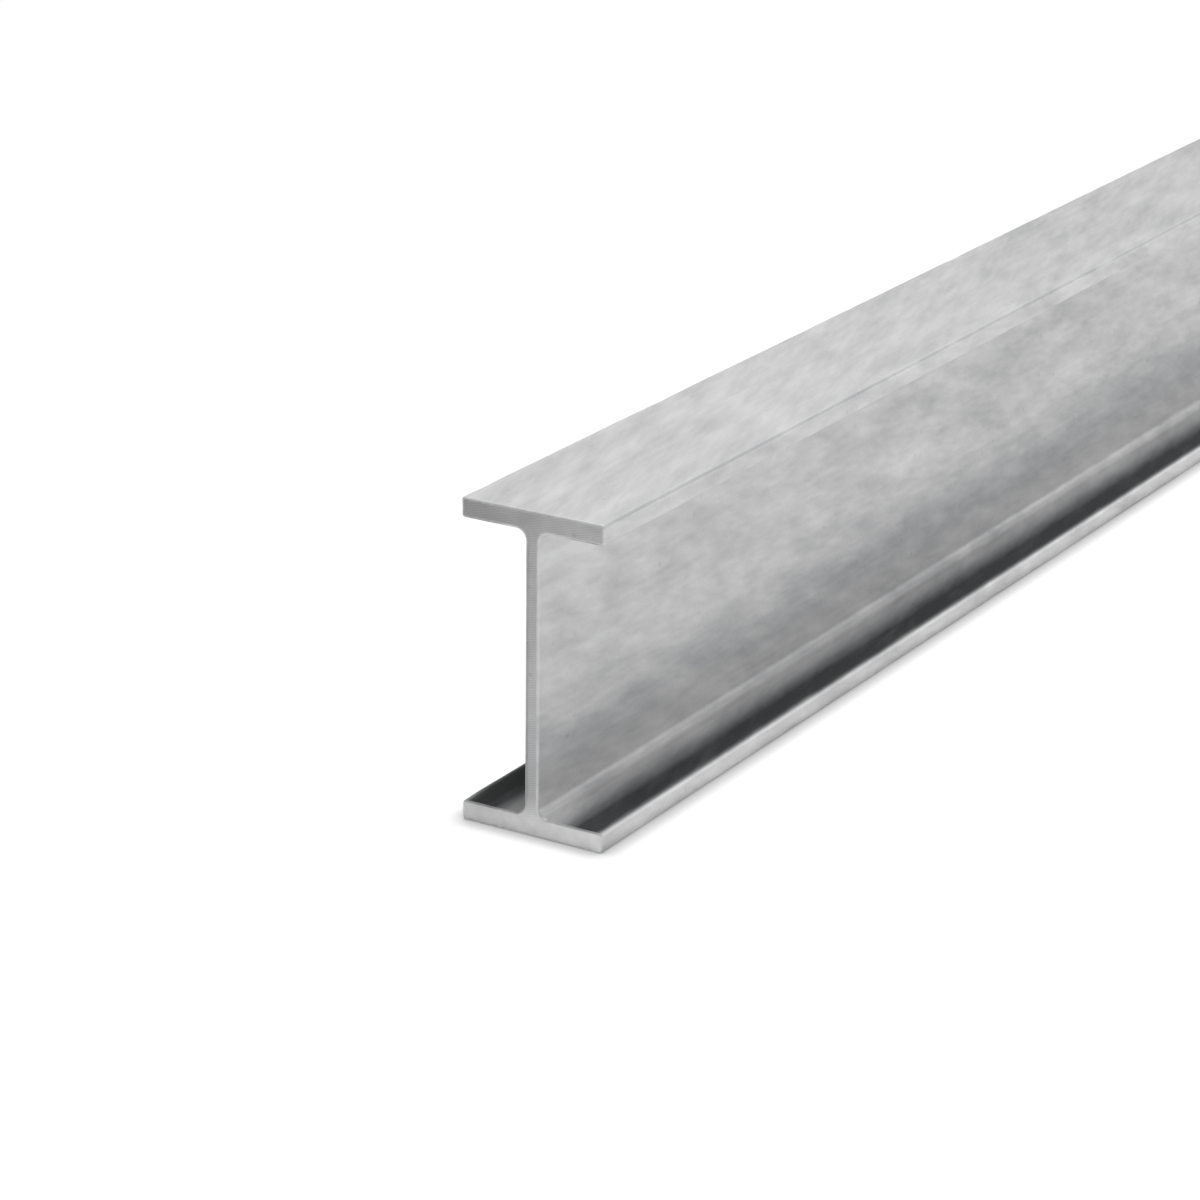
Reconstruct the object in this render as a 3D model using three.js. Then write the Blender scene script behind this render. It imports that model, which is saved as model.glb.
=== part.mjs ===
// Steel I-beam: one hot-rolled bar of parallel-flange section, sawn square to length.
// Millimetres, +Z up. The beam stands on its lower flange with its length along X,
// and the origin is the middle of the bearing face, directly below the web.

import * as THREE from "three";

// Driving dimensions of the rolled section.
const sectionHeight = 125; // over both flanges, along Z
const flangeWidth = 60; // from toe to toe, along Y
const flangeThickness = 8; // the same from root to toe, because the flanges are parallel
const webThickness = 6;
const rootRadius = 4; // fillet where the web runs into each flange, a tight one for this size
const toeRadius = 1.2; // the corners of a flange's edge, as the closing rolls leave them

// Stock length, between the two sawn ends, along X.
const beamLength = 1000;

// Each quarter round of the section is drawn with twice this many facets.
const facetsPerEighth = 6;

const quarterTurn = Math.PI / 2;

// A corner that turns left, as the solid steel of a toe does: from startAngle, counter-clockwise.
function addToeCorner(outline, y, z, startAngle) {
  outline.absarc(y, z, toeRadius, startAngle, startAngle + quarterTurn, false);
}

// A corner that turns right, as the hollow between web and flange does: clockwise.
function addRootFillet(outline, y, z, startAngle) {
  outline.absarc(y, z, rootRadius, startAngle, startAngle - quarterTurn, true);
}

// The closed outline of the section, counter-clockwise about its own centre, as 12 arcs that
// straight runs join: the lower toe, the web and the upper toe of one side, and then the same
// again after half a turn, which is the symmetry that a rolled I-section has.
function sectionOutline() {
  const outline = new THREE.Shape();
  const toeY = flangeWidth / 2 - toeRadius;
  const outerToeZ = sectionHeight / 2 - toeRadius;
  const innerToeZ = sectionHeight / 2 - flangeThickness + toeRadius;
  const rootY = webThickness / 2 + rootRadius;
  const rootZ = sectionHeight / 2 - flangeThickness - rootRadius;

  for (const [side, turned] of [[1, 0], [-1, Math.PI]]) {
    addToeCorner(outline, side * toeY, side * -outerToeZ, turned - quarterTurn);
    addToeCorner(outline, side * toeY, side * -innerToeZ, turned);
    addRootFillet(outline, side * rootY, side * -rootZ, turned - quarterTurn);
    addRootFillet(outline, side * rootY, side * rootZ, turned + Math.PI);
    addToeCorner(outline, side * toeY, side * innerToeZ, turned - quarterTurn);
    addToeCorner(outline, side * toeY, side * outerToeZ, turned);
  }
  return outline;
}

// Bare rolled steel: pale grey with a dull shine.
const rolledSteel = new THREE.MeshStandardMaterial({
  color: 0xb4b6b8,
  roughness: 0.5,
  metalness: 0.7,
});

// The section carried straight along the beam.
function makeBeam() {
  const geometry = new THREE.ExtrudeGeometry(sectionOutline(), {
    depth: beamLength,
    steps: 1,
    bevelEnabled: false,
    curveSegments: facetsPerEighth,
  });
  const beam = new THREE.Mesh(geometry, rolledSteel);
  beam.name = "i_beam";

  // The section's own x and y become across (+Y) and up (+Z), and the extrusion runs along +X.
  const across = new THREE.Vector3(0, 1, 0);
  const up = new THREE.Vector3(0, 0, 1);
  const along = new THREE.Vector3(1, 0, 0);
  beam.quaternion.setFromRotationMatrix(
    new THREE.Matrix4().makeBasis(across, up, along),
  );
  beam.position.set(-beamLength / 2, 0, sectionHeight / 2);
  return beam;
}

const part = new THREE.Group();
part.add(makeBeam());

export default part;
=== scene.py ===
# %% [markdown]
# # A length of rolled steel I-beam
#
# An I-beam is one bar of steel. It is squeezed hot between grooved rolls until its section is an I, and
# a saw then cuts it to length. So it has two kinds of surface: the rolled skin, which is drawn out along
# the bar, and the two sawn ends. This lesson starts from the solid model of the beam, which fixes every
# size, and gives it the surfaces of the real thing.

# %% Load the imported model
import math

import bmesh
import bpy
import numpy as np
from mathutils import Matrix, Vector


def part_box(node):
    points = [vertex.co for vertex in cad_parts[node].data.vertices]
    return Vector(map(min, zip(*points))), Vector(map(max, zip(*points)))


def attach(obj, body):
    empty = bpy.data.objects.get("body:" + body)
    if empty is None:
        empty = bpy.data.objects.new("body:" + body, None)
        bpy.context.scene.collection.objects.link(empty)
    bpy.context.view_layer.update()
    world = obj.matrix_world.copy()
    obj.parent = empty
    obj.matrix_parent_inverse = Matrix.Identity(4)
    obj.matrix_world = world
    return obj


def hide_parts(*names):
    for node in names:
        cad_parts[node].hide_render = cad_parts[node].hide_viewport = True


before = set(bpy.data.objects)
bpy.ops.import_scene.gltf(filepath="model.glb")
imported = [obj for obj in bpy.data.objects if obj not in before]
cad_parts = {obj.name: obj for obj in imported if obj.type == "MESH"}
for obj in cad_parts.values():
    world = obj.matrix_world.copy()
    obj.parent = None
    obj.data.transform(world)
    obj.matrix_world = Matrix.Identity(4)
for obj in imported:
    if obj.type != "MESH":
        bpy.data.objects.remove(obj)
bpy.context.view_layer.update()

MM = 0.001

# %% [markdown]
# ## Read the section off the solid
#
# The new skin has to lie exactly where the solid's faces are. Typing the sizes in again would work until
# somebody changes the solid. The corners of the solid's own outline already say everything, so the web's
# thickness, the flange's thickness and both radii are measured there.

# %% Measure the section
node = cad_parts["i_beam"]
low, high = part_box("i_beam")
half_length = (high.x - low.x) / 2
half_width = (high.y - low.y) / 2
height = high.z - low.z

corners = np.empty(len(node.data.vertices) * 3, np.float32)
node.data.vertices.foreach_get("co", corners)
corners = corners.reshape(-1, 3).astype(float)
corner_y, corner_z = np.abs(corners[:, 1]), corners[:, 2]
HAIR = 0.01 * MM  # two measures closer than this are the same

web_half = corner_y.min()
on_toe = (corner_y > half_width - HAIR) & (corner_z < height / 2)
toe_radius = corner_z[on_toe].min()
flange = corner_z[on_toe].max() + toe_radius
on_web = (corner_y < web_half + HAIR) & (corner_z < height / 2)
root_radius = corner_z[on_web].min() - flange
print("web %.2f, flange %.2f, root radius %.2f, toe radius %.2f mm" % tuple(
    size / MM for size in (2 * web_half, flange, root_radius, toe_radius)))

# %% [markdown]
# ## The outline, with a middle line inside it
#
# A profile carried along a path is the natural way to make rolled stock: it is how the mill makes it.
# The outline is drawn once for the lower right quarter and mirrored, because the section is the same on
# both sides and above and below. Each point of the outline also gets a partner on the middle line of the
# steel behind it. The sawn ends are later woven between outline and partners, so that the whole beam is
# one grid with no separate lid to stitch on.

# %% Outline helpers
def crowded(steps, crowding=0.85):
    """Shares from 0 to 1 that crowd towards both ends: t less a part of sin(2 pi t) over 2 pi."""
    share = np.linspace(0, 1, steps + 1)
    return share - crowding * np.sin(2 * np.pi * share) / (2 * np.pi)


def straight(start, end, steps):
    """Start plus shares of the way to end, crowded at both ends to keep the rounds beside it crisp."""
    start, end = np.array(start, float), np.array(end, float)
    return start + crowded(steps)[:, None] * (end - start)


def quarter_round(centre, radius, from_degrees, to_degrees, steps):
    """Points on an arc: centre plus radius times the cosine and the sine of an even sweep of angles."""
    angle = np.radians(np.linspace(from_degrees, to_degrees, steps + 1))
    return np.array(centre) + radius * np.stack([np.cos(angle), np.sin(angle)], 1)


def chain(*runs):
    """Joins runs end to end. Each run starts where the last one stopped, so that point is kept once."""
    return np.concatenate([run[:-1] for run in runs[:-1]] + [runs[-1]])


def mirrored(points, across, height_turned=None):
    """The same points backwards, mirrored in y if across is true, and in z about the mid height if given."""
    turned = points[::-1].copy()
    if across:
        turned[:, 0] *= -1
    if height_turned is not None:
        turned[:, 1] = height_turned - turned[:, 1]
    return turned


# %% Draw the outline and its middle line
ROOT_STEPS = 16  # along a root fillet: half of them have their partners in the flange, half in the web
LEDGE_STEPS = 9  # along a flange's flat, from the root to the toe
TOE_STEPS = 4
WEB_STEPS = 30

root_y = web_half + root_radius  # where the fillet meets the flange
root_z = flange + root_radius  # where it meets the web
toe_y = half_width - toe_radius
core_y = half_width - flange / 2  # the flange's middle line stops short of the toe
core_z = flange / 2

lower_right = chain(
    straight((0, 0), (root_y, 0), ROOT_STEPS // 2),
    straight((root_y, 0), (toe_y, 0), LEDGE_STEPS),
    quarter_round((toe_y, toe_radius), toe_radius, -90, 0, TOE_STEPS),
    straight((half_width, toe_radius), (half_width, flange - toe_radius), TOE_STEPS),
    quarter_round((toe_y, flange - toe_radius), toe_radius, 0, 90, TOE_STEPS),
    straight((toe_y, flange), (root_y, flange), LEDGE_STEPS),
    quarter_round((root_y, root_z), root_radius, -90, -180, ROOT_STEPS),
)
ledge_partners = straight((root_y, core_z), (toe_y, core_z), LEDGE_STEPS)
ledge_partners[:, 0] = np.minimum(ledge_partners[:, 0], core_y)
toe_partners = np.tile([core_y, core_z], (3 * TOE_STEPS + 1, 1))
lower_partners = chain(
    straight((0, core_z), (root_y, core_z), ROOT_STEPS // 2),
    ledge_partners,
    toe_partners,
    ledge_partners[::-1],
    straight((root_y, core_z), (0, core_z), ROOT_STEPS // 2),
    straight((0, core_z), (0, root_z), ROOT_STEPS // 2),
)


def whole_section(quarter, web_run):
    """The closed loop from its lower right quarter: up the right side, and back down the left one."""
    right = chain(quarter, web_run, mirrored(quarter, False, height))
    return chain(right, mirrored(right, True))[:-1]


outline = whole_section(lower_right, straight((web_half, root_z), (web_half, height - root_z), WEB_STEPS))
partner = whole_section(lower_partners, straight((0, root_z), (0, height - root_z), WEB_STEPS))
around = np.roll(outline, -1, 0) - np.roll(outline, 1, 0)
outward = np.stack([around[:, 1], -around[:, 0]], 1)
outward /= np.linalg.norm(outward, axis=1, keepdims=True)
edge_lengths = np.linalg.norm(np.roll(outline, -1, 0) - outline, axis=1)
girth = edge_lengths.sum()
along_outline = np.concatenate([[0], np.cumsum(edge_lengths)[:-1]])
print(len(outline), "points round a girth of", round(girth / MM, 1), "mm")

# %% [markdown]
# ## Stations along the beam
#
# The outline now travels along X. At each end it first rounds a very small arris, which is what a file or
# the scrap yard leaves of a sawn edge, and then shrinks onto the middle line, which closes the end.
# Every station has three numbers: its place along X, how far it has moved in from the outline at the
# arris, and then its share of the way to the partner.

# %% Place the stations
LENGTH_STEPS = 316
ARRIS = 0.8 * MM
ARRIS_STEPS = 3
LAST_RING = 2.5 * ARRIS  # from the sawn face back to the last ring of the skin before the arris
EVEN_RINGS = 3 * ARRIS  # and to the first of the even rings
END_STEPS = 7

arris_angle = np.linspace(0, np.pi / 2, ARRIS_STEPS + 1)
arris_back = np.append(LAST_RING, ARRIS * (1 - np.sin(arris_angle)))  # behind the sawn face
arris_in = ARRIS * np.append(0, 1 - np.cos(arris_angle))
closing = np.linspace(0, 1, END_STEPS + 1)[1:]  # shares of the way to the middle line

end_back = np.append(arris_back, np.zeros(END_STEPS))
end_in = np.append(arris_in, np.full(END_STEPS, ARRIS))
end_share = np.append(np.zeros(len(arris_back)), closing)
body_x = np.linspace(-half_length + EVEN_RINGS, half_length - EVEN_RINGS, LENGTH_STEPS + 1)

station_x = np.concatenate([-half_length + end_back[::-1], body_x, half_length - end_back])
station_in = np.concatenate([end_in[::-1], np.zeros(len(body_x)), end_in])
station_share = np.concatenate([end_share[::-1], np.zeros(len(body_x)), end_share])
# +1 at the stations of the right sawn end, -1 at those of the left one and 0 along the skin
station_end = np.where(station_in >= ARRIS - HAIR / 10, np.sign(station_x), 0)
print(len(station_x), "stations")

# %% [markdown]
# ## Relief
#
# Rolled steel is flat to the hand and not to the eye. The rolls leave a slow swell, scale that was
# pressed in and flaked off leaves shallow patches drawn out along the bar, and handling nicks the toes.
# All of it goes inward from the true section, so the beam stays inside its nominal size. The swell comes
# from value noise: random heights on a coarse grid, blended smoothly between the grid's points.

# %% Relief helpers
def cloud(place_u, place_v, cell_u, cell_v, seed, loop_u):
    """Smooth noise from 0 to 1: seeded random heights on a lattice, eased between its points with
    3 t^2 - 2 t^3. Along u it repeats after loop_u, so that it closes round an outline."""
    count_u = max(3, round(loop_u / cell_u))
    count_v = 4 + int(np.ptp(place_v) / cell_v)
    lattice = np.random.default_rng(seed).random((count_u, count_v))
    u = place_u / loop_u * count_u
    v = (place_v - place_v.min()) / cell_v
    cell_left, cell_near = np.floor(u).astype(int), np.floor(v).astype(int)
    ease_u, ease_v = u - cell_left, v - cell_near
    ease_u, ease_v = ease_u**2 * (3 - 2 * ease_u), ease_v**2 * (3 - 2 * ease_v)
    left, right = cell_left % count_u, (cell_left + 1) % count_u
    near = lattice[left, cell_near] * (1 - ease_u) + lattice[right, cell_near] * ease_u
    far = lattice[left, cell_near + 1] * (1 - ease_u) + lattice[right, cell_near + 1] * ease_u
    return near * (1 - ease_v) + far * ease_v


# %% Work out the relief of the skin
SWELL_DEPTH = 0.10 * MM
SCALE_DEPTH = 0.07 * MM
GRAIN_DEPTH = 0.025 * MM
TOE_WEAR_DEPTH = 0.16 * MM
LEAST_LEAN = 0.1  # on a flat, one part of outward is smaller than this

s, x = np.meshgrid(along_outline, station_x, indexing="ij")


def skin_cloud(cell_round, cell_along, seed):
    """The cloud over the whole skin. A cell's sides are measured round the outline and along the bar."""
    return cloud(s, x, cell_round, cell_along, seed, girth)


swell = SWELL_DEPTH * skin_cloud(45 * MM, 140 * MM, seed=1)
scale_patches = SCALE_DEPTH * skin_cloud(9 * MM, 26 * MM, seed=2)
grain = GRAIN_DEPTH * skin_cloud(4 * MM, 8 * MM, seed=3)
skin_depth = swell + scale_patches + grain

toe_side = np.abs(outline[:, 0]) > toe_y - HAIR
on_round = toe_side & (np.abs(outward) > LEAST_LEAN).all(axis=1)
toe_wear = TOE_WEAR_DEPTH * skin_cloud(5 * MM, 14 * MM, seed=4) ** 2 * on_round[:, None]
print("relief of the rolled skin: up to %.2f mm deep" % (skin_depth.max() / MM))

# %% Add the nicks on the toes
NICKS = 70
NICK_ACROSS = 1.6 * MM

draw = np.random.default_rng(5)
round_points = along_outline[on_round]
nick_s = draw.choice(round_points, NICKS)
nick_x = draw.uniform(-half_length, half_length, NICKS)
nick_long = draw.uniform(3, 9, NICKS) * MM
nick_depth = draw.uniform(0.06, 0.2, NICKS) * MM
nicks = np.zeros_like(s)
for centre_s, centre_x, long, depth in zip(nick_s, nick_x, nick_long, nick_depth):
    spread = ((s - centre_s) / NICK_ACROSS) ** 2 + ((x - centre_x) / long) ** 2
    nicks = np.maximum(nicks, depth * np.exp(-spread))
inward = skin_depth + toe_wear + nicks
print("with toe wear and nicks: up to %.2f mm deep" % (inward.max() / MM))

# %% [markdown]
# ## Weave the beam
#
# Position is outline, minus outward times the relief, moved by the arris and then by the share of the way
# to its partner. On the ends the saw leaves shallow waves square to its travel, which push the face in
# along X. The whole thing is a few array sums; the only meeting of vertices is on the middle line, where
# both sides of the section arrive at the same places and are merged.

# %% Make the mesh
SAW_WAVE = 0.05 * MM
SAW_PITCH = 7 * MM
SAW_TILT = math.radians(14)  # the blade comes down at a slant

base = outline[:, None] - outward[:, None] * inward[..., None]
reach = partner[:, None] - base
distance = np.linalg.norm(reach, axis=2, keepdims=True)
after_arris = base + reach / distance * station_in[None, :, None]
section_yz = after_arris + (partner[:, None] - after_arris) * station_share[None, :, None]

travel = section_yz[..., 1] * math.cos(SAW_TILT) + section_yz[..., 0] * math.sin(SAW_TILT)
saw_depth = SAW_WAVE * (0.5 + 0.5 * np.sin(2 * np.pi * travel / SAW_PITCH))
section_x = x - station_end[None] * saw_depth
points = np.concatenate([section_x[..., None], section_yz], 2)

round_count, station_count = s.shape
index = np.arange(round_count * station_count).reshape(round_count, station_count)
here, after = index[:, :-1], np.roll(index, -1, 0)[:, :-1]
quads = np.stack([here, after, after + 1, here + 1], 2).reshape(-1, 4)

is_sawn = (station_end[:-1] != 0) & (station_end[1:] != 0)
face_finish = np.broadcast_to(is_sawn, (round_count, station_count - 1)).astype(int).ravel()

mesh = bpy.data.meshes.new("i_beam_skin")
mesh.from_pydata(points.reshape(-1, 3).tolist(), [], quads.tolist())
mesh.polygons.foreach_set("material_index", face_finish)
mesh.shade_smooth()
print("woven from", len(quads), "faces,", int(face_finish.sum()), "of them sawn")

# %% [markdown]
# ## What each place on the beam has been through, and where light and shade are painted
#
# Three attributes travel with the mesh, so that the finish can follow the section and not only the space
# around it. A pattern in space alone couldn't tell the ledge from the web beside it.
#
# - Film darkens the skin. Mill scale gives a thin even film on the open top and underneath, and none on
#   the toes' flats. The rest of the film on the skin is painted shade: whole on the inner faces of the
#   flanges, away from the root and not alike on both sides, thinner up the web, a line in the lower roots,
#   a thin line along the rounds of the toes and a darkening of the lower toes near the ground. On the sawn
#   ends film says how much the saw's heat has darkened the steel, most along one edge of the web, where
#   the teeth leave the steel and burn it. The ends are also darker on the top flange and towards +y, and
#   painted light makes them lighter at the foot.
# - Wear is 1 where slings, forks and other beams have rubbed the steel bright: in the nicks and along the
#   sawn arrises. At the foot of the ends it is painted light, brighter towards -y. The burnt edge isn't
#   rubbed.
# - Dull is 1 on the open top, where dust and damp settle and take the metal's shine away.

# %% Helpers for the attributes
def eased(value, start, end):
    """0 before start and 1 after end, with 3 t^2 - 2 t^3 in between."""
    share = np.clip((value - start) / (end - start), 0, 1)
    return share**2 * (3 - 2 * share)


def band(value, rise, fall):
    """0, then 1 between the two eased steps, then 0 again. Rise and fall are each a start and an end."""
    return eased(value, *rise) * (1 - eased(value, *fall))


# %% Work out the film and the painted shade on the skin
# Painted shade on the skin: a line in the lower roots, the ledges, the lower web, the rounds of the toes and
# the lower toes near the ground. OPEN_FILM is the real mill scale here.
ROOT_PAINTED_SHADE = 0.28  # painted shade: a dark line in the lower roots that damps the fillet's highlight
ROOT_PAINTED_SHADE_PLACE = ((0.08, 0.30), (0.30, 1.25))  # rise and fall, in root radii above the flange
LEDGE_SHADE_START = 0.2 * MM  # out from the root, before the painted shade begins
LEDGE_SHADE_RISE_NEAR, LEDGE_SHADE_RISE_FAR = 14.5 * MM, 10.5 * MM  # before it is whole: not alike on both sides
LEDGE_SHADE_FALL = 1.5 * MM  # before the toe's round, where it starts to fade
# painted shade, darker down the web
WEB_PAINTED_SHADE_WIDE = 0.10  # the web darkens downwards in two steps: a slight one high up
WEB_PAINTED_SHADE_WIDE_FADE = (86 * MM, 103 * MM)
WEB_PAINTED_SHADE_LOW = 0.22  # and a deeper one low down
WEB_PAINTED_SHADE_LOW_FADE = (30 * MM, 62 * MM)
WEB_PAINTED_SHADE_CLEAR = (6 * MM, 20 * MM)  # the painted shade on the web fades in over this height above the flange
# painted shade on the lower toes' flats, darkest at the ground
TOE_PAINTED_SHADE = 0.12
TOE_PAINTED_SHADE_FADE = (1 * MM, 5 * MM)
# painted shade along the rounds of the toes
ROUND_PAINTED_SHADE = 0.30
OPEN_FILM = 0.075  # on top of the beam and underneath

outline_y, outline_z = np.abs(outline[:, 0]), outline[:, 1]
from_flange = np.minimum(outline_z, height - outline_z) - flange  # height above the nearer inner face
faces_in = from_flange > -toe_radius

rise_end = root_y + np.where(outline[:, 0] < 0, LEDGE_SHADE_RISE_NEAR, LEDGE_SHADE_RISE_FAR)
ledge_painted_shade = band(outline_y, (root_y + LEDGE_SHADE_START, rise_end), (toe_y - LEDGE_SHADE_FALL, half_width))
in_lower_root = (outline_y < root_y) & (outline_z < height / 2)
root_painted_shade = ROOT_PAINTED_SHADE * band(from_flange / root_radius, *ROOT_PAINTED_SHADE_PLACE) * in_lower_root
web_painted_shade = WEB_PAINTED_SHADE_WIDE * (1 - eased(outline_z, *WEB_PAINTED_SHADE_WIDE_FADE))
web_painted_shade += WEB_PAINTED_SHADE_LOW * (1 - eased(outline_z, *WEB_PAINTED_SHADE_LOW_FADE))
web_painted_shade *= eased(from_flange, *WEB_PAINTED_SHADE_CLEAR)
inner_painted_shade = np.maximum(ledge_painted_shade, np.maximum(root_painted_shade, web_painted_shade))
toe_painted_shade = TOE_PAINTED_SHADE * (1 - eased(outline_z, *TOE_PAINTED_SHADE_FADE))
outer_film_and_painted_shade = np.where(on_round, ROUND_PAINTED_SHADE, np.where(toe_side, toe_painted_shade, OPEN_FILM))
film_and_shade_line = np.where(faces_in, inner_painted_shade, outer_film_and_painted_shade)
print("film on the skin: %.2f to %.2f" % (film_and_shade_line.min(), film_and_shade_line.max()))

# %% Work out the scorch, and the painted light at the foot, on the sawn ends
SCORCH = 0.21
END_DARKER_ASIDE = 0.16  # added at one side of the section and taken off at the other
# the ends are darker on the top flange
END_DARKER_TOP = 0.12
# painted light: negative, so the foot of the ends is lighter
END_FOOT_PAINTED_LIGHT = -0.26
BURNT_EDGE = 0.65
BURNT_EDGE_FROM = 1 * MM  # out from the middle of the web
BURNT_EDGE_ENDS = 4 * MM  # it fades over the roots and this much of the web beside them

end_y, end_z = section_yz[..., 0] / half_width, section_yz[..., 1]
foot = 1 - eased(end_z, flange / 2, 2 * flange)
head = eased(end_z, height - 2 * flange, height - flange)
in_web = band(
    end_z, (flange, root_z + BURNT_EDGE_ENDS), (height - root_z - BURNT_EDGE_ENDS, height - flange))
burnt = in_web * eased(section_yz[..., 0], BURNT_EDGE_FROM, web_half)
scorch_and_painted_light = SCORCH + END_DARKER_ASIDE * end_y + END_DARKER_TOP * head + END_FOOT_PAINTED_LIGHT * foot + BURNT_EDGE * burnt
on_end = station_end[None] != 0
film_and_painted_light = np.where(on_end, scorch_and_painted_light, film_and_shade_line[:, None])
print("film on the ends: %.2f to %.2f" % (scorch_and_painted_light[:, on_end[0]].min(), scorch_and_painted_light[:, on_end[0]].max()))

# %% Work out wear, the painted light at the foot of the ends, and dullness
FULL_NICK = 0.25 * MM  # the wear in a nick is its depth over this
NICK_WEAR = 0.6  # and at most this
ARRIS_WEAR = 0.7
# painted light: the foot of the ends takes the rubbed colour, brighter towards -y
FOOT_PAINTED_LIGHT = 0.9
FOOT_PAINTED_LIGHT_ASIDE = -0.4
DULL_FROM = 0.2 * MM  # below the top face: from here up the steel is wholly dull

wear_and_painted_light = np.clip(nicks / FULL_NICK, 0, NICK_WEAR)
at_arris = (station_in > 0) & (station_share == 0)
wear_and_painted_light = np.where(at_arris[None], ARRIS_WEAR, wear_and_painted_light)
# the painted light at the foot of the sawn ends
wear_and_painted_light = np.where(on_end, np.maximum(wear_and_painted_light, foot * (FOOT_PAINTED_LIGHT + FOOT_PAINTED_LIGHT_ASIDE * end_y)), wear_and_painted_light)
wear_and_painted_light = wear_and_painted_light * (1 - np.where(station_in[None] > 0, burnt, 0))

dull_line = eased(outline_z, height - toe_radius, height - DULL_FROM)
dull = np.broadcast_to(dull_line[:, None], film_and_painted_light.shape)

for name, values in (("film_and_painted_light", film_and_painted_light), ("wear_and_painted_light", wear_and_painted_light), ("dull", dull)):
    layer = mesh.attributes.new(name, "FLOAT", "POINT")
    layer.data.foreach_set("value", np.ascontiguousarray(values, np.float32).ravel())
print("attributes: film, wear and dull on", film_and_painted_light.size, "points")

# %% Merge the middle line and check that the body is closed
body = bmesh.new()
body.from_mesh(mesh)
bmesh.ops.remove_doubles(body, verts=body.verts, dist=HAIR / 10)
open_edges = sum(1 for edge in body.edges if not edge.is_manifold)
volume = body.calc_volume(signed=True)
body.to_mesh(mesh)
body.free()
mesh.calc_loop_triangles()
print("%d triangles, %d open edges, %.1f cubic centimetres" % (
    len(mesh.loop_triangles), open_edges, volume * 1e6))

beam = bpy.data.objects.new("i_beam_skin", mesh)
bpy.context.scene.collection.objects.link(beam)
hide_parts("i_beam")
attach(beam, "root")

# %% [markdown]
# ## Node helpers
#
# A material is a small graph. Writing it node by node is long, so two helpers do the typing: one adds a
# node and sets or links its inputs, and the other opens a node group with named inputs and outputs. A
# group is built once and then placed in every material that wants its effect.

# %% Node helpers
def add_node(tree, kind, inputs=(), **settings):
    """Adds a node. Inputs maps a socket's name or number to a value, or to the socket that feeds it."""
    node = tree.nodes.new(kind)
    for name, value in settings.items():
        setattr(node, name, value)
    for socket, value in dict(inputs).items():
        if isinstance(value, bpy.types.NodeSocket):
            tree.links.new(value, node.inputs[socket])
        else:
            node.inputs[socket].default_value = value
    return node


def calculate(tree, operation, first, second=0.0, clamp=False):
    """The output of one Math node."""
    node = add_node(tree, "ShaderNodeMath", {0: first, 1: second}, operation=operation, use_clamp=clamp)
    return node.outputs[0]


def multiply_add(tree, first, second, third):
    """The output of a Math node that gives first times second plus third."""
    node = add_node(tree, "ShaderNodeMath", {0: first, 1: second, 2: third}, operation="MULTIPLY_ADD")
    return node.outputs[0]


def open_group(name, inputs, outputs):
    """A new node group with its input and output nodes. Inputs and outputs map a name to a socket type."""
    tree = bpy.data.node_groups.new(name, "ShaderNodeTree")
    for in_out, sockets in (("INPUT", inputs), ("OUTPUT", outputs)):
        for socket, kind in sockets.items():
            tree.interface.new_socket(name=socket, in_out=in_out, socket_type="NodeSocket" + kind)
    return tree, tree.nodes.new("NodeGroupInput").outputs, tree.nodes.new("NodeGroupOutput").inputs


def place_group(tree, group, inputs):
    """The outputs of a group placed in a material or in another group."""
    return add_node(tree, "ShaderNodeGroup", inputs, node_tree=group).outputs


# %% [markdown]
# ## Drawn mottle
#
# Everything on a rolled bar is drawn out along it: clouds of scale, patches where it flaked and the fine
# lines that the rolls leave. They differ only in size and in how far they are drawn, so one group makes
# them all. It squeezes X before it asks for noise, which stretches the noise along the bar, and it puts
# the result round 0, so that adding it makes lighter and darker places in equal parts.

# %% Build the drawn mottle group
NOISE_GAIN = 4.0  # noise keeps close to its middle, 0.5: this brings its swing to about 1 each way

mottle, given, result = open_group(
    "drawn_mottle",
    {"Vector": "Vector", "Size": "Float", "Drawn Out": "Float", "Detail": "Float"},
    {"Tone": "Float"},
)
split = add_node(mottle, "ShaderNodeSeparateXYZ", {0: given["Vector"]})
squeezed = calculate(mottle, "DIVIDE", split.outputs["X"], given["Drawn Out"])
joined = add_node(mottle, "ShaderNodeCombineXYZ", {
    "X": squeezed, "Y": split.outputs["Y"], "Z": split.outputs["Z"]})
frequency = calculate(mottle, "DIVIDE", 1.0, given["Size"])
noise = add_node(mottle, "ShaderNodeTexNoise", {
    "Vector": joined.outputs[0], "Scale": frequency, "Detail": given["Detail"], "Roughness": 0.45})
centred = calculate(mottle, "SUBTRACT", noise.outputs[0], 0.5)
mottle.links.new(calculate(mottle, "MULTIPLY", centred, NOISE_GAIN), result["Tone"])
print("group", mottle.name, "with", len(mottle.nodes), "nodes")

# %% [markdown]
# ## Steel grain
#
# Up close, steel that has cooled in air is finely speckled, and here and there a grain of scale has
# dropped out and left a pit. The speckle is noise finer than a millimetre. The pits are the cores of
# Voronoi cells: near the middle of a cell the distance is small, and a random number for each cell
# keeps one cell in five, some deep and some shallow.

# %% Build the steel grain group
NO_PIT_BELOW = 0.80  # a cell whose random number is lower stays whole
PIT_FLOOR, PIT_RIM = 0.12, 0.26  # distances from a cell's middle, with the cell's own size as 1
PIT_DEPTH = 1.5
SPECKLE_HEIGHT = 0.4

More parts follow.
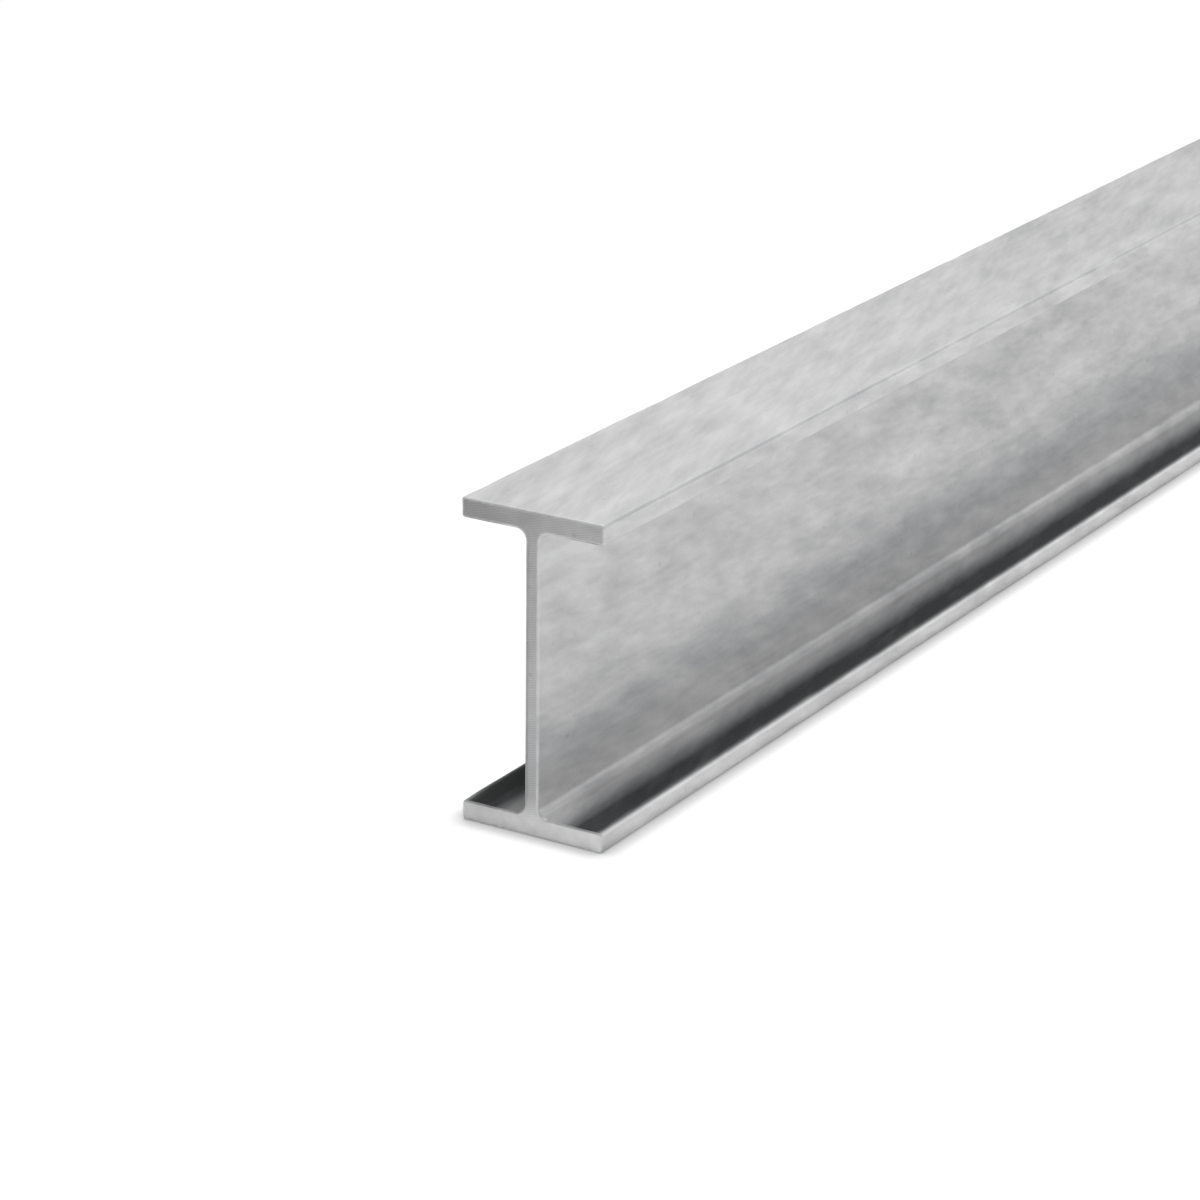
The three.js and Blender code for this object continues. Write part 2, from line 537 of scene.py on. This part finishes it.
grain_group, given, result = open_group(
    "steel_grain",
    {"Vector": "Vector", "Grain Size": "Float", "Pit Spacing": "Float"},
    {"Speckle": "Float", "Pits": "Float", "Height": "Float"},
)
grain_scale = calculate(grain_group, "DIVIDE", 1.0, given["Grain Size"])
speckle = add_node(grain_group, "ShaderNodeTexNoise", {
    "Vector": given["Vector"], "Scale": grain_scale, "Detail": 3.0, "Roughness": 0.6})
speckle_tone = calculate(grain_group, "SUBTRACT", speckle.outputs[0], 0.5)
speckle_tone = calculate(grain_group, "MULTIPLY", speckle_tone, NOISE_GAIN)
pit_scale = calculate(grain_group, "DIVIDE", 1.0, given["Pit Spacing"])
cells = add_node(grain_group, "ShaderNodeTexVoronoi", {"Vector": given["Vector"], "Scale": pit_scale})
chance = add_node(grain_group, "ShaderNodeSeparateColor", {0: cells.outputs["Color"]})
kept = add_node(grain_group, "ShaderNodeMapRange", {
    "Value": chance.outputs[0], "From Min": NO_PIT_BELOW, "From Max": 1.0, "To Min": 0.0, "To Max": 1.0})
core = add_node(grain_group, "ShaderNodeMapRange", {
    "Value": cells.outputs["Distance"], "From Min": PIT_FLOOR, "From Max": PIT_RIM,
    "To Min": 1.0, "To Max": 0.0})
pits = calculate(grain_group, "MULTIPLY", core.outputs[0], kept.outputs[0])
dip = calculate(grain_group, "MULTIPLY", pits, -PIT_DEPTH)
lift = calculate(grain_group, "MULTIPLY", speckle_tone, SPECKLE_HEIGHT)
grain_group.links.new(speckle_tone, result["Speckle"])
grain_group.links.new(pits, result["Pits"])
grain_group.links.new(calculate(grain_group, "ADD", dip, lift), result["Height"])
print("group", grain_group.name, "with", len(grain_group.nodes), "nodes")

# %% [markdown]
# ## Rubbed edges, and painted light at the foot of the ends
#
# Rubbing doesn't follow a line exactly: it skips the hollows. The wear attribute says where rubbing can
# reach, and noise along the edge breaks it up. On the sawn ends the same mask also carries painted light
# at the foot.

# %% Build the rubbed edge group
RUBBED_LEVEL = 0.75
RUBBED_SWING = 0.35

rubbed_and_lit, given, result = open_group(
    "rubbed_and_lit_mask", {"Vector": "Vector", "Wear And Light": "Float"}, {"Mask": "Float"})
breaks = place_group(rubbed_and_lit, mottle, {
    "Vector": given["Vector"], "Size": 5 * MM, "Drawn Out": 3.0, "Detail": 3.0})
reach_here = multiply_add(rubbed_and_lit, breaks["Tone"], RUBBED_SWING, RUBBED_LEVEL)
rubbed_and_lit.links.new(calculate(rubbed_and_lit, "MULTIPLY", given["Wear And Light"], reach_here, clamp=True), result["Mask"])
print("group", rubbed_and_lit.name, "with", len(rubbed_and_lit.nodes), "nodes")

# %% [markdown]
# ## The rolled skin
#
# The finish is bare steel seen through a thin, uneven film of mill scale. One number drives it: the
# share of scale at a place. More scale is darker, rougher and less metallic, so colour, roughness and
# metalness all follow the same number, as they do on the real bar. The same number also carries the
# painted shade from the film attribute, so the painted shade on the ledges, roots, lower web and toes is
# dark in the same way. Where the film is thin it has a faint blue cast, like temper colours, and where it
# is thick it is plain black. Thick scale is also more even, so the mottle calms down there. Dull steel
# keeps its colour: only its roughness goes up and its metalness down.

# %% Helpers for the materials
def open_material(name):
    """A material with only a Principled shader and its output."""
    material = bpy.data.materials.new(name)
    material.use_nodes = True
    return material, material.node_tree, material.node_tree.nodes["Principled BSDF"]


def blend_of(tree, share, low, high):
    """A number that goes from low to high as share goes from 0 to 1."""
    node = add_node(tree, "ShaderNodeMapRange", {"Value": share, "To Min": low, "To Max": high})
    return node.outputs[0]


def mix_colours(tree, share, first, second):
    """The first colour where share is 0, the second where it is 1."""
    node = add_node(tree, "ShaderNodeMix", {0: share, 6: first, 7: second}, data_type="RGBA")
    return node.outputs[2]


# %% Make the rolled skin material
STEEL_COLOUR = (0.75, 0.75, 0.75, 1)
BARE_SHARE = 0.27  # up to this share the film doesn't tint the steel
BARE_COLOUR = (0.566, 0.566, 0.566, 1)
THIN_SCALE_SHARE = 0.42
THIN_SCALE_COLOUR = (0.452, 0.463, 0.472, 1)
# whole scale, and also the painted shade where the film attribute is full
SCALE_AND_SHADE_COLOUR = (0.066, 0.068, 0.071, 1)
# rubbed steel, and on the sawn ends the painted light at the foot
RUBBED_AND_PAINTED_LIGHT_COLOUR = (0.85, 0.85, 0.85, 1)
LEAST_SCALE = 0.105
SCALE_FROM_FILM = 0.9
CALM_SCALE = 0.5  # how much of the mottle is left on whole scale
PITS_DARKER = 0.12
SPECKLE_DARKER = 0.04
SPECKLE_ROUGHER = 0.04
SKIN_ROUGHNESS = (0.44, 0.58)  # of bare steel and of whole scale
SKIN_METALNESS = (0.55, 0.35)
DULL_ROUGHER = 0.14
DULL_LESS_METAL = 0.28
SMEAR_LEAN = (0, math.radians(-10), math.radians(-15))  # turns the smears' direction onto X
CLOUD_SHIFT = (2.03, 0.11, 0.28)  # picks the part of the noise that the clouds are cut from

skin, tree, shader = open_material("rolled_skin")
place = add_node(tree, "ShaderNodeTexCoord").outputs["Object"]
leaning = add_node(tree, "ShaderNodeMapping", {"Vector": place, "Rotation": SMEAR_LEAN}).outputs[0]
moved = add_node(tree, "ShaderNodeMapping", {"Vector": place, "Location": CLOUD_SHIFT}).outputs[0]
# the film attribute: mill scale and painted shade
film_and_shade_here = add_node(tree, "ShaderNodeAttribute", attribute_name="film_and_painted_light").outputs["Fac"]
wear_and_light_here = add_node(tree, "ShaderNodeAttribute", attribute_name="wear_and_painted_light").outputs["Fac"]
dull_here = add_node(tree, "ShaderNodeAttribute", attribute_name="dull").outputs["Fac"]
grain_here = place_group(tree, grain_group, {
    "Vector": place, "Grain Size": 0.9 * MM, "Pit Spacing": 5 * MM})

uneven = calculate(tree, "MULTIPLY", grain_here["Speckle"], SPECKLE_DARKER)
uneven = multiply_add(tree, grain_here["Pits"], PITS_DARKER, uneven)
for vector, size, drawn_out, detail, amount in (
    (moved, 48 * MM, 2.2, 2.0, 0.085),  # clouds
    (leaning, 8 * MM, 6.0, 2.0, 0.12),  # smears
    (leaning, 2.6 * MM, 9.0, 1.0, 0.05),  # the finer streaks in them
    (place, 2.4 * MM, 30.0, 1.0, 0.03),  # lines left by the rolls
):
    tone = place_group(tree, mottle, {
        "Vector": vector, "Size": size, "Drawn Out": drawn_out, "Detail": detail})["Tone"]
    uneven = multiply_add(tree, tone, amount, uneven)
calm = blend_of(tree, film_and_shade_here, 1.0, CALM_SCALE)
scale_and_shade_share = multiply_add(tree, film_and_shade_here, SCALE_FROM_FILM, LEAST_SCALE)
scale_and_shade_share = multiply_add(tree, uneven, calm, scale_and_shade_share)

scale_and_shade_ramp = add_node(tree, "ShaderNodeValToRGB", {0: scale_and_shade_share})
scale_and_shade_ramp.color_ramp.elements[0].color = STEEL_COLOUR
scale_and_shade_ramp.color_ramp.elements[1].color = SCALE_AND_SHADE_COLOUR
scale_and_shade_ramp.color_ramp.elements.new(BARE_SHARE).color = BARE_COLOUR
scale_and_shade_ramp.color_ramp.elements.new(THIN_SCALE_SHARE).color = THIN_SCALE_COLOUR
rub_and_light = place_group(tree, rubbed_and_lit, {"Vector": place, "Wear And Light": wear_and_light_here})["Mask"]
skin_colour = mix_colours(tree, rub_and_light, scale_and_shade_ramp.outputs[0], RUBBED_AND_PAINTED_LIGHT_COLOUR)
tree.links.new(skin_colour, shader.inputs["Base Color"])

film_roughness = blend_of(tree, scale_and_shade_share, *SKIN_ROUGHNESS)
skin_roughness = multiply_add(tree, grain_here["Speckle"], SPECKLE_ROUGHER, film_roughness)
skin_roughness = multiply_add(tree, dull_here, DULL_ROUGHER, skin_roughness)
tree.links.new(skin_roughness, shader.inputs["Roughness"])
film_metal = blend_of(tree, scale_and_shade_share, *SKIN_METALNESS)
skin_metal = multiply_add(tree, dull_here, -DULL_LESS_METAL, film_metal)
tree.links.new(skin_metal, shader.inputs["Metallic"])
shader.inputs["Specular IOR Level"].default_value = 0.25

bump = add_node(tree, "ShaderNodeBump", {
    "Height": grain_here["Height"], "Strength": 0.25, "Distance": 0.1 * MM})
tree.links.new(bump.outputs[0], shader.inputs["Normal"])
print("material", skin.name, "with", len(tree.nodes), "nodes")

# %% [markdown]
# ## The sawn ends
#
# A saw leaves close lines that run at a slant across the section: a wave along the saw's travel, a
# little distorted. Its heat darkens the steel, and the film attribute says how much. The film attribute
# also makes the ends darker on the top flange and towards +y, and carries painted light that makes the
# foot lighter; the wear attribute brightens the foot further with painted light.

# %% Make the sawn end material
SAWN_COLOUR = (0.66, 0.66, 0.66, 1)
SCORCHED_COLOUR = (0.20, 0.20, 0.203, 1)
SAWN_ROUGHNESS = (0.40, 0.55)  # of clean and of scorched steel
SAWN_METALNESS = (0.55, 0.40)
LINE_PITCH = 0.9 * MM
WAVES_PER_METRE = 20 / math.tau  # what a Wave Texture of scale 1 gives
LINES_DARKER = 0.16

sawn, tree, shader = open_material("sawn_end")
place = add_node(tree, "ShaderNodeTexCoord").outputs["Object"]
turned = add_node(tree, "ShaderNodeMapping", {"Vector": place, "Rotation": (SAW_TILT, 0, 0)}).outputs[0]
# the film attribute here: the saw's scorch, and painted light at the foot
scorch_and_light_here = add_node(tree, "ShaderNodeAttribute", attribute_name="film_and_painted_light").outputs["Fac"]
wear_and_light_here = add_node(tree, "ShaderNodeAttribute", attribute_name="wear_and_painted_light").outputs["Fac"]
lines = add_node(tree, "ShaderNodeTexWave", {
    "Vector": turned, "Scale": 1 / (LINE_PITCH * WAVES_PER_METRE), "Distortion": 1.2, "Detail": 2.0,
    "Detail Scale": 0.4}, bands_direction="Z")
soil = place_group(tree, mottle, {
    "Vector": place, "Size": 9 * MM, "Drawn Out": 1.0, "Detail": 3.0})["Tone"]
grain_here = place_group(tree, grain_group, {
    "Vector": place, "Grain Size": 0.7 * MM, "Pit Spacing": 4 * MM})
sawn_share = multiply_add(tree, lines.outputs["Fac"], LINES_DARKER, scorch_and_light_here)
for tone, amount in ((soil, 0.10), (grain_here["Speckle"], 0.06), (grain_here["Pits"], 0.15)):
    sawn_share = multiply_add(tree, tone, amount, sawn_share)
# rubbed arrises, and painted light at the foot
rub_and_light = place_group(tree, rubbed_and_lit, {"Vector": place, "Wear And Light": wear_and_light_here})["Mask"]
sawn_colour = mix_colours(tree, sawn_share, SAWN_COLOUR, SCORCHED_COLOUR)
tree.links.new(mix_colours(tree, rub_and_light, sawn_colour, RUBBED_AND_PAINTED_LIGHT_COLOUR), shader.inputs["Base Color"])
tree.links.new(blend_of(tree, sawn_share, *SAWN_ROUGHNESS), shader.inputs["Roughness"])
tree.links.new(blend_of(tree, sawn_share, *SAWN_METALNESS), shader.inputs["Metallic"])
sawn_height = calculate(tree, "ADD", lines.outputs["Fac"], grain_here["Height"])
bump = add_node(tree, "ShaderNodeBump", {
    "Height": sawn_height, "Strength": 0.3, "Distance": 0.05 * MM})
tree.links.new(bump.outputs[0], shader.inputs["Normal"])
print("material", sawn.name, "with", len(tree.nodes), "nodes")

# %% Put both materials on the beam
for material in (skin, sawn):
    mesh.materials.append(material)
print("on the beam:", [material.name for material in mesh.materials])

# %% [markdown]
# ## The studio
#
# Steel shows its surroundings, so lighting it means choosing what it mirrors. Underneath and all round
# lies a white sweep: a floor whose far rim curves up into a low wall. Above the rim the studio is dark,
# and that dark sky is what the ledge of the lower flange mirrors.
#
# The sweep glows only for the camera and in reflections, so it looks white and throws no light of its own
# on the beam. A little plain paint on top catches the lamps' soft shadow. Right beside the steel the glow
# is cut back, because a floor that close to an object never gets the whole of the light: ambient occlusion
# with a very short reach finds those places.

# %% Make the sweep
SWEEP_RADIUS = 6.0
SWEEP_RISE = 1.5
SWEEP_BEND = 0.8  # radius of the curve between floor and wall
FLAT_RINGS = 8
BEND_STEPS = 10
SWEEP_SIDES = 96
FLOOR_GAP = 0.02 * MM  # keeps the floor out of the plane of the beam's foot

flat_run = np.stack([np.linspace(0, SWEEP_RADIUS - SWEEP_BEND, FLAT_RINGS), np.zeros(FLAT_RINGS)], 1)
bend_run = quarter_round((SWEEP_RADIUS - SWEEP_BEND, SWEEP_BEND), SWEEP_BEND, -90, 0, BEND_STEPS)
wall_run = np.array([[SWEEP_RADIUS, SWEEP_BEND], [SWEEP_RADIUS, SWEEP_RISE]])
sweep_profile = chain(flat_run, bend_run, wall_run)
turn = np.linspace(0, 2 * np.pi, SWEEP_SIDES, endpoint=False)
sweep_points = np.stack([
    sweep_profile[:, :1] * np.cos(turn),
    sweep_profile[:, :1] * np.sin(turn),
    np.broadcast_to(sweep_profile[:, 1:] - FLOOR_GAP, (len(sweep_profile), len(turn))),
], 2)
index = np.arange(sweep_points[..., 0].size).reshape(sweep_points.shape[:2])
inner, outer = index[:-1], index[1:]
sweep_quads = np.stack([
    inner, outer, np.roll(outer, -1, 1), np.roll(inner, -1, 1)], 2).reshape(-1, 4)
sweep_mesh = bpy.data.meshes.new("sweep")
sweep_mesh.from_pydata(sweep_points.reshape(-1, 3).tolist(), [], sweep_quads.tolist())
sweep_mesh.shade_smooth()
sweep = bpy.data.objects.new("sweep", sweep_mesh)
bpy.context.scene.collection.objects.link(sweep)
print("sweep of", len(sweep_quads), "faces")

# %% Paint the sweep
SWEEP_PAINT = 0.85
SWEEP_GLOW = 0.92  # to the camera and in reflections: with a little of the paint on top it is white
SHADOW_PART = 0.18
CONTACT_REACH = 8 * MM  # how far from the steel the floor still darkens
CONTACT_CLOSED = 0.45  # the openness right beside the steel
CONTACT_DARK = 0.35
CONTACT_RAYS = 4

paper = bpy.data.materials.new("sweep_paper")
paper.use_nodes = True
tree = paper.node_tree
tree.nodes.clear()
paint = add_node(tree, "ShaderNodeBsdfDiffuse", {"Color": (SWEEP_PAINT,) * 3 + (1,)})
faint_paint = add_node(tree, "ShaderNodeBsdfDiffuse", {"Color": (SWEEP_PAINT * SHADOW_PART,) * 3 + (1,)})
openness = add_node(
    tree, "ShaderNodeAmbientOcclusion", {"Distance": CONTACT_REACH}, samples=CONTACT_RAYS).outputs["AO"]
contact = add_node(tree, "ShaderNodeMapRange", {
    "Value": openness, "From Min": CONTACT_CLOSED, "From Max": 1.0,
    "To Min": CONTACT_DARK, "To Max": 1.0})
glow_strength = calculate(tree, "MULTIPLY", contact.outputs[0], SWEEP_GLOW)
glow = add_node(tree, "ShaderNodeEmission", {"Strength": glow_strength})
seen = add_node(tree, "ShaderNodeAddShader", {0: faint_paint.outputs[0], 1: glow.outputs[0]})
ray = add_node(tree, "ShaderNodeLightPath").outputs
looked_at = calculate(tree, "MAXIMUM", ray["Is Camera Ray"], ray["Is Glossy Ray"])
looked_at = calculate(tree, "MAXIMUM", looked_at, ray["Is Transmission Ray"])
either = add_node(tree, "ShaderNodeMixShader", {0: looked_at, 1: paint.outputs[0], 2: seen.outputs[0]})
add_node(tree, "ShaderNodeOutputMaterial", {"Surface": either.outputs[0]})
sweep_mesh.materials.append(paper)
print("material", paper.name, "with", len(tree.nodes), "nodes")

# %% [markdown]
# ## Lamps and the dark above
#
# Two lamps light the beam. The long one hangs straight above the half that the camera sees, so that it
# lights the top flange and the top flange keeps it off both ledges. The front one is a large soft panel,
# low on the side of the web that is in view. It shines into the corner of web and ledge and gives the web
# its fall of tone. It is large because a small lamp of the same power would burn out whatever mirrors it.
#
# A lamp's power is easy to get wrong by ten times. Here it is worked out from what it should do: light a
# white sheet in front of it to a given level, where 1 is white.

# %% Hang the lamps
def watts_for(level, long, wide, distance):
    """Power at which a flat lamp brings a white sheet in front of it to the level. The sheet gathers
    radiance times cosine times cosine over distance squared from every patch of the lamp, and the lamp
    sends out pi times radiance times area."""
    u, v = np.meshgrid(np.linspace(-0.5, 0.5, 81) * long, np.linspace(-0.5, 0.5, 41) * wide)
    squared = u**2 + v**2 + distance**2
    gathered = (distance**2 / squared**2).mean() * long * wide
    return level * math.pi / gathered * math.pi * long * wide


def hang_lamp(name, level, long, wide, centre, target):
    """An area lamp at centre that faces target, unseen by the camera."""
    lamp = bpy.data.lights.new(name, "AREA")
    lamp.shape, lamp.size, lamp.size_y = "RECTANGLE", long, wide
    distance = (Vector(target) - Vector(centre)).length
    lamp.energy = watts_for(level, long, wide, distance)
    holder = bpy.data.objects.new(name, lamp)
    turn = (Vector(centre) - Vector(target)).to_track_quat("Z", "Y")
    holder.matrix_world = Matrix.Translation(centre) @ turn.to_matrix().to_4x4()
    holder.visible_camera = False
    bpy.context.scene.collection.objects.link(holder)
    print(name, round(lamp.energy, 1), "W")


hang_lamp("long_lamp", level=0.78, long=1.6, wide=0.25, centre=(-0.45, 0, 2.0), target=(-0.45, 0, 0))
hang_lamp("front_lamp", level=0.38, long=5.0, wide=3.2, centre=(1.79, -1.79, 1.59), target=(0, 0, 0.02))

# %% Darken the sky
DARK_SKY = (0.03, 0.03, 0.032, 1)

world = bpy.data.worlds.new("dark_studio")
world.use_nodes = True
world.node_tree.nodes["Background"].inputs["Color"].default_value = DARK_SKY
bpy.context.scene.world = world
bpy.context.scene.view_settings.view_transform = "Standard"
print("sky:", DARK_SKY[:3])

# %% [markdown]
# ## The camera
#
# The camera stands off the near end, looks along the beam and down on it, and lets the far end run out of
# the frame. Three directions describe it: along the view, to the right and up. They are the columns of its
# matrix, so there are no angles to convert. A small lean turns the last two about the first.

# %% Place the camera
FRAME_PIXELS = 1200
FOCAL_PIXELS = 3893.7  # the focal length, counted in pixels of the frame
SENSOR_MM = 36
YAW = math.radians(31.20)  # between the beam and the direction of view
PITCH = math.radians(20.08)  # down from the horizon
ROLL = math.radians(0.59)  # how far the camera leans to its left
DISTANCE = 1.39306  # how far the camera stands back from the near end's middle
ASIDE, ABOVE = 0.02442, 0.02725  # and how far it then moves to its right and up

ahead = Vector((math.cos(PITCH) * math.cos(YAW), math.cos(PITCH) * math.sin(YAW), -math.sin(PITCH)))
level = Vector((math.sin(YAW), -math.cos(YAW), 0))
upright = Vector((math.sin(PITCH) * math.cos(YAW), math.sin(PITCH) * math.sin(YAW), math.cos(PITCH)))
aside = level * math.cos(ROLL) + upright * math.sin(ROLL)
upward = upright * math.cos(ROLL) - level * math.sin(ROLL)
near_end = Vector((-half_length, 0, height / 2))
stand = near_end - ahead * DISTANCE + aside * ASIDE + upward * ABOVE

lens = bpy.data.cameras.new("camera")
lens.sensor_width = SENSOR_MM
lens.lens = SENSOR_MM * FOCAL_PIXELS / FRAME_PIXELS
camera = bpy.data.objects.new("camera", lens)
camera.matrix_world = Matrix.Translation(stand) @ Matrix((aside, upward, -ahead)).transposed().to_4x4()
bpy.context.scene.collection.objects.link(camera)
bpy.context.scene.camera = camera
print("camera at", [round(value, 3) for value in stand], "lens %.1f mm" % lens.lens)
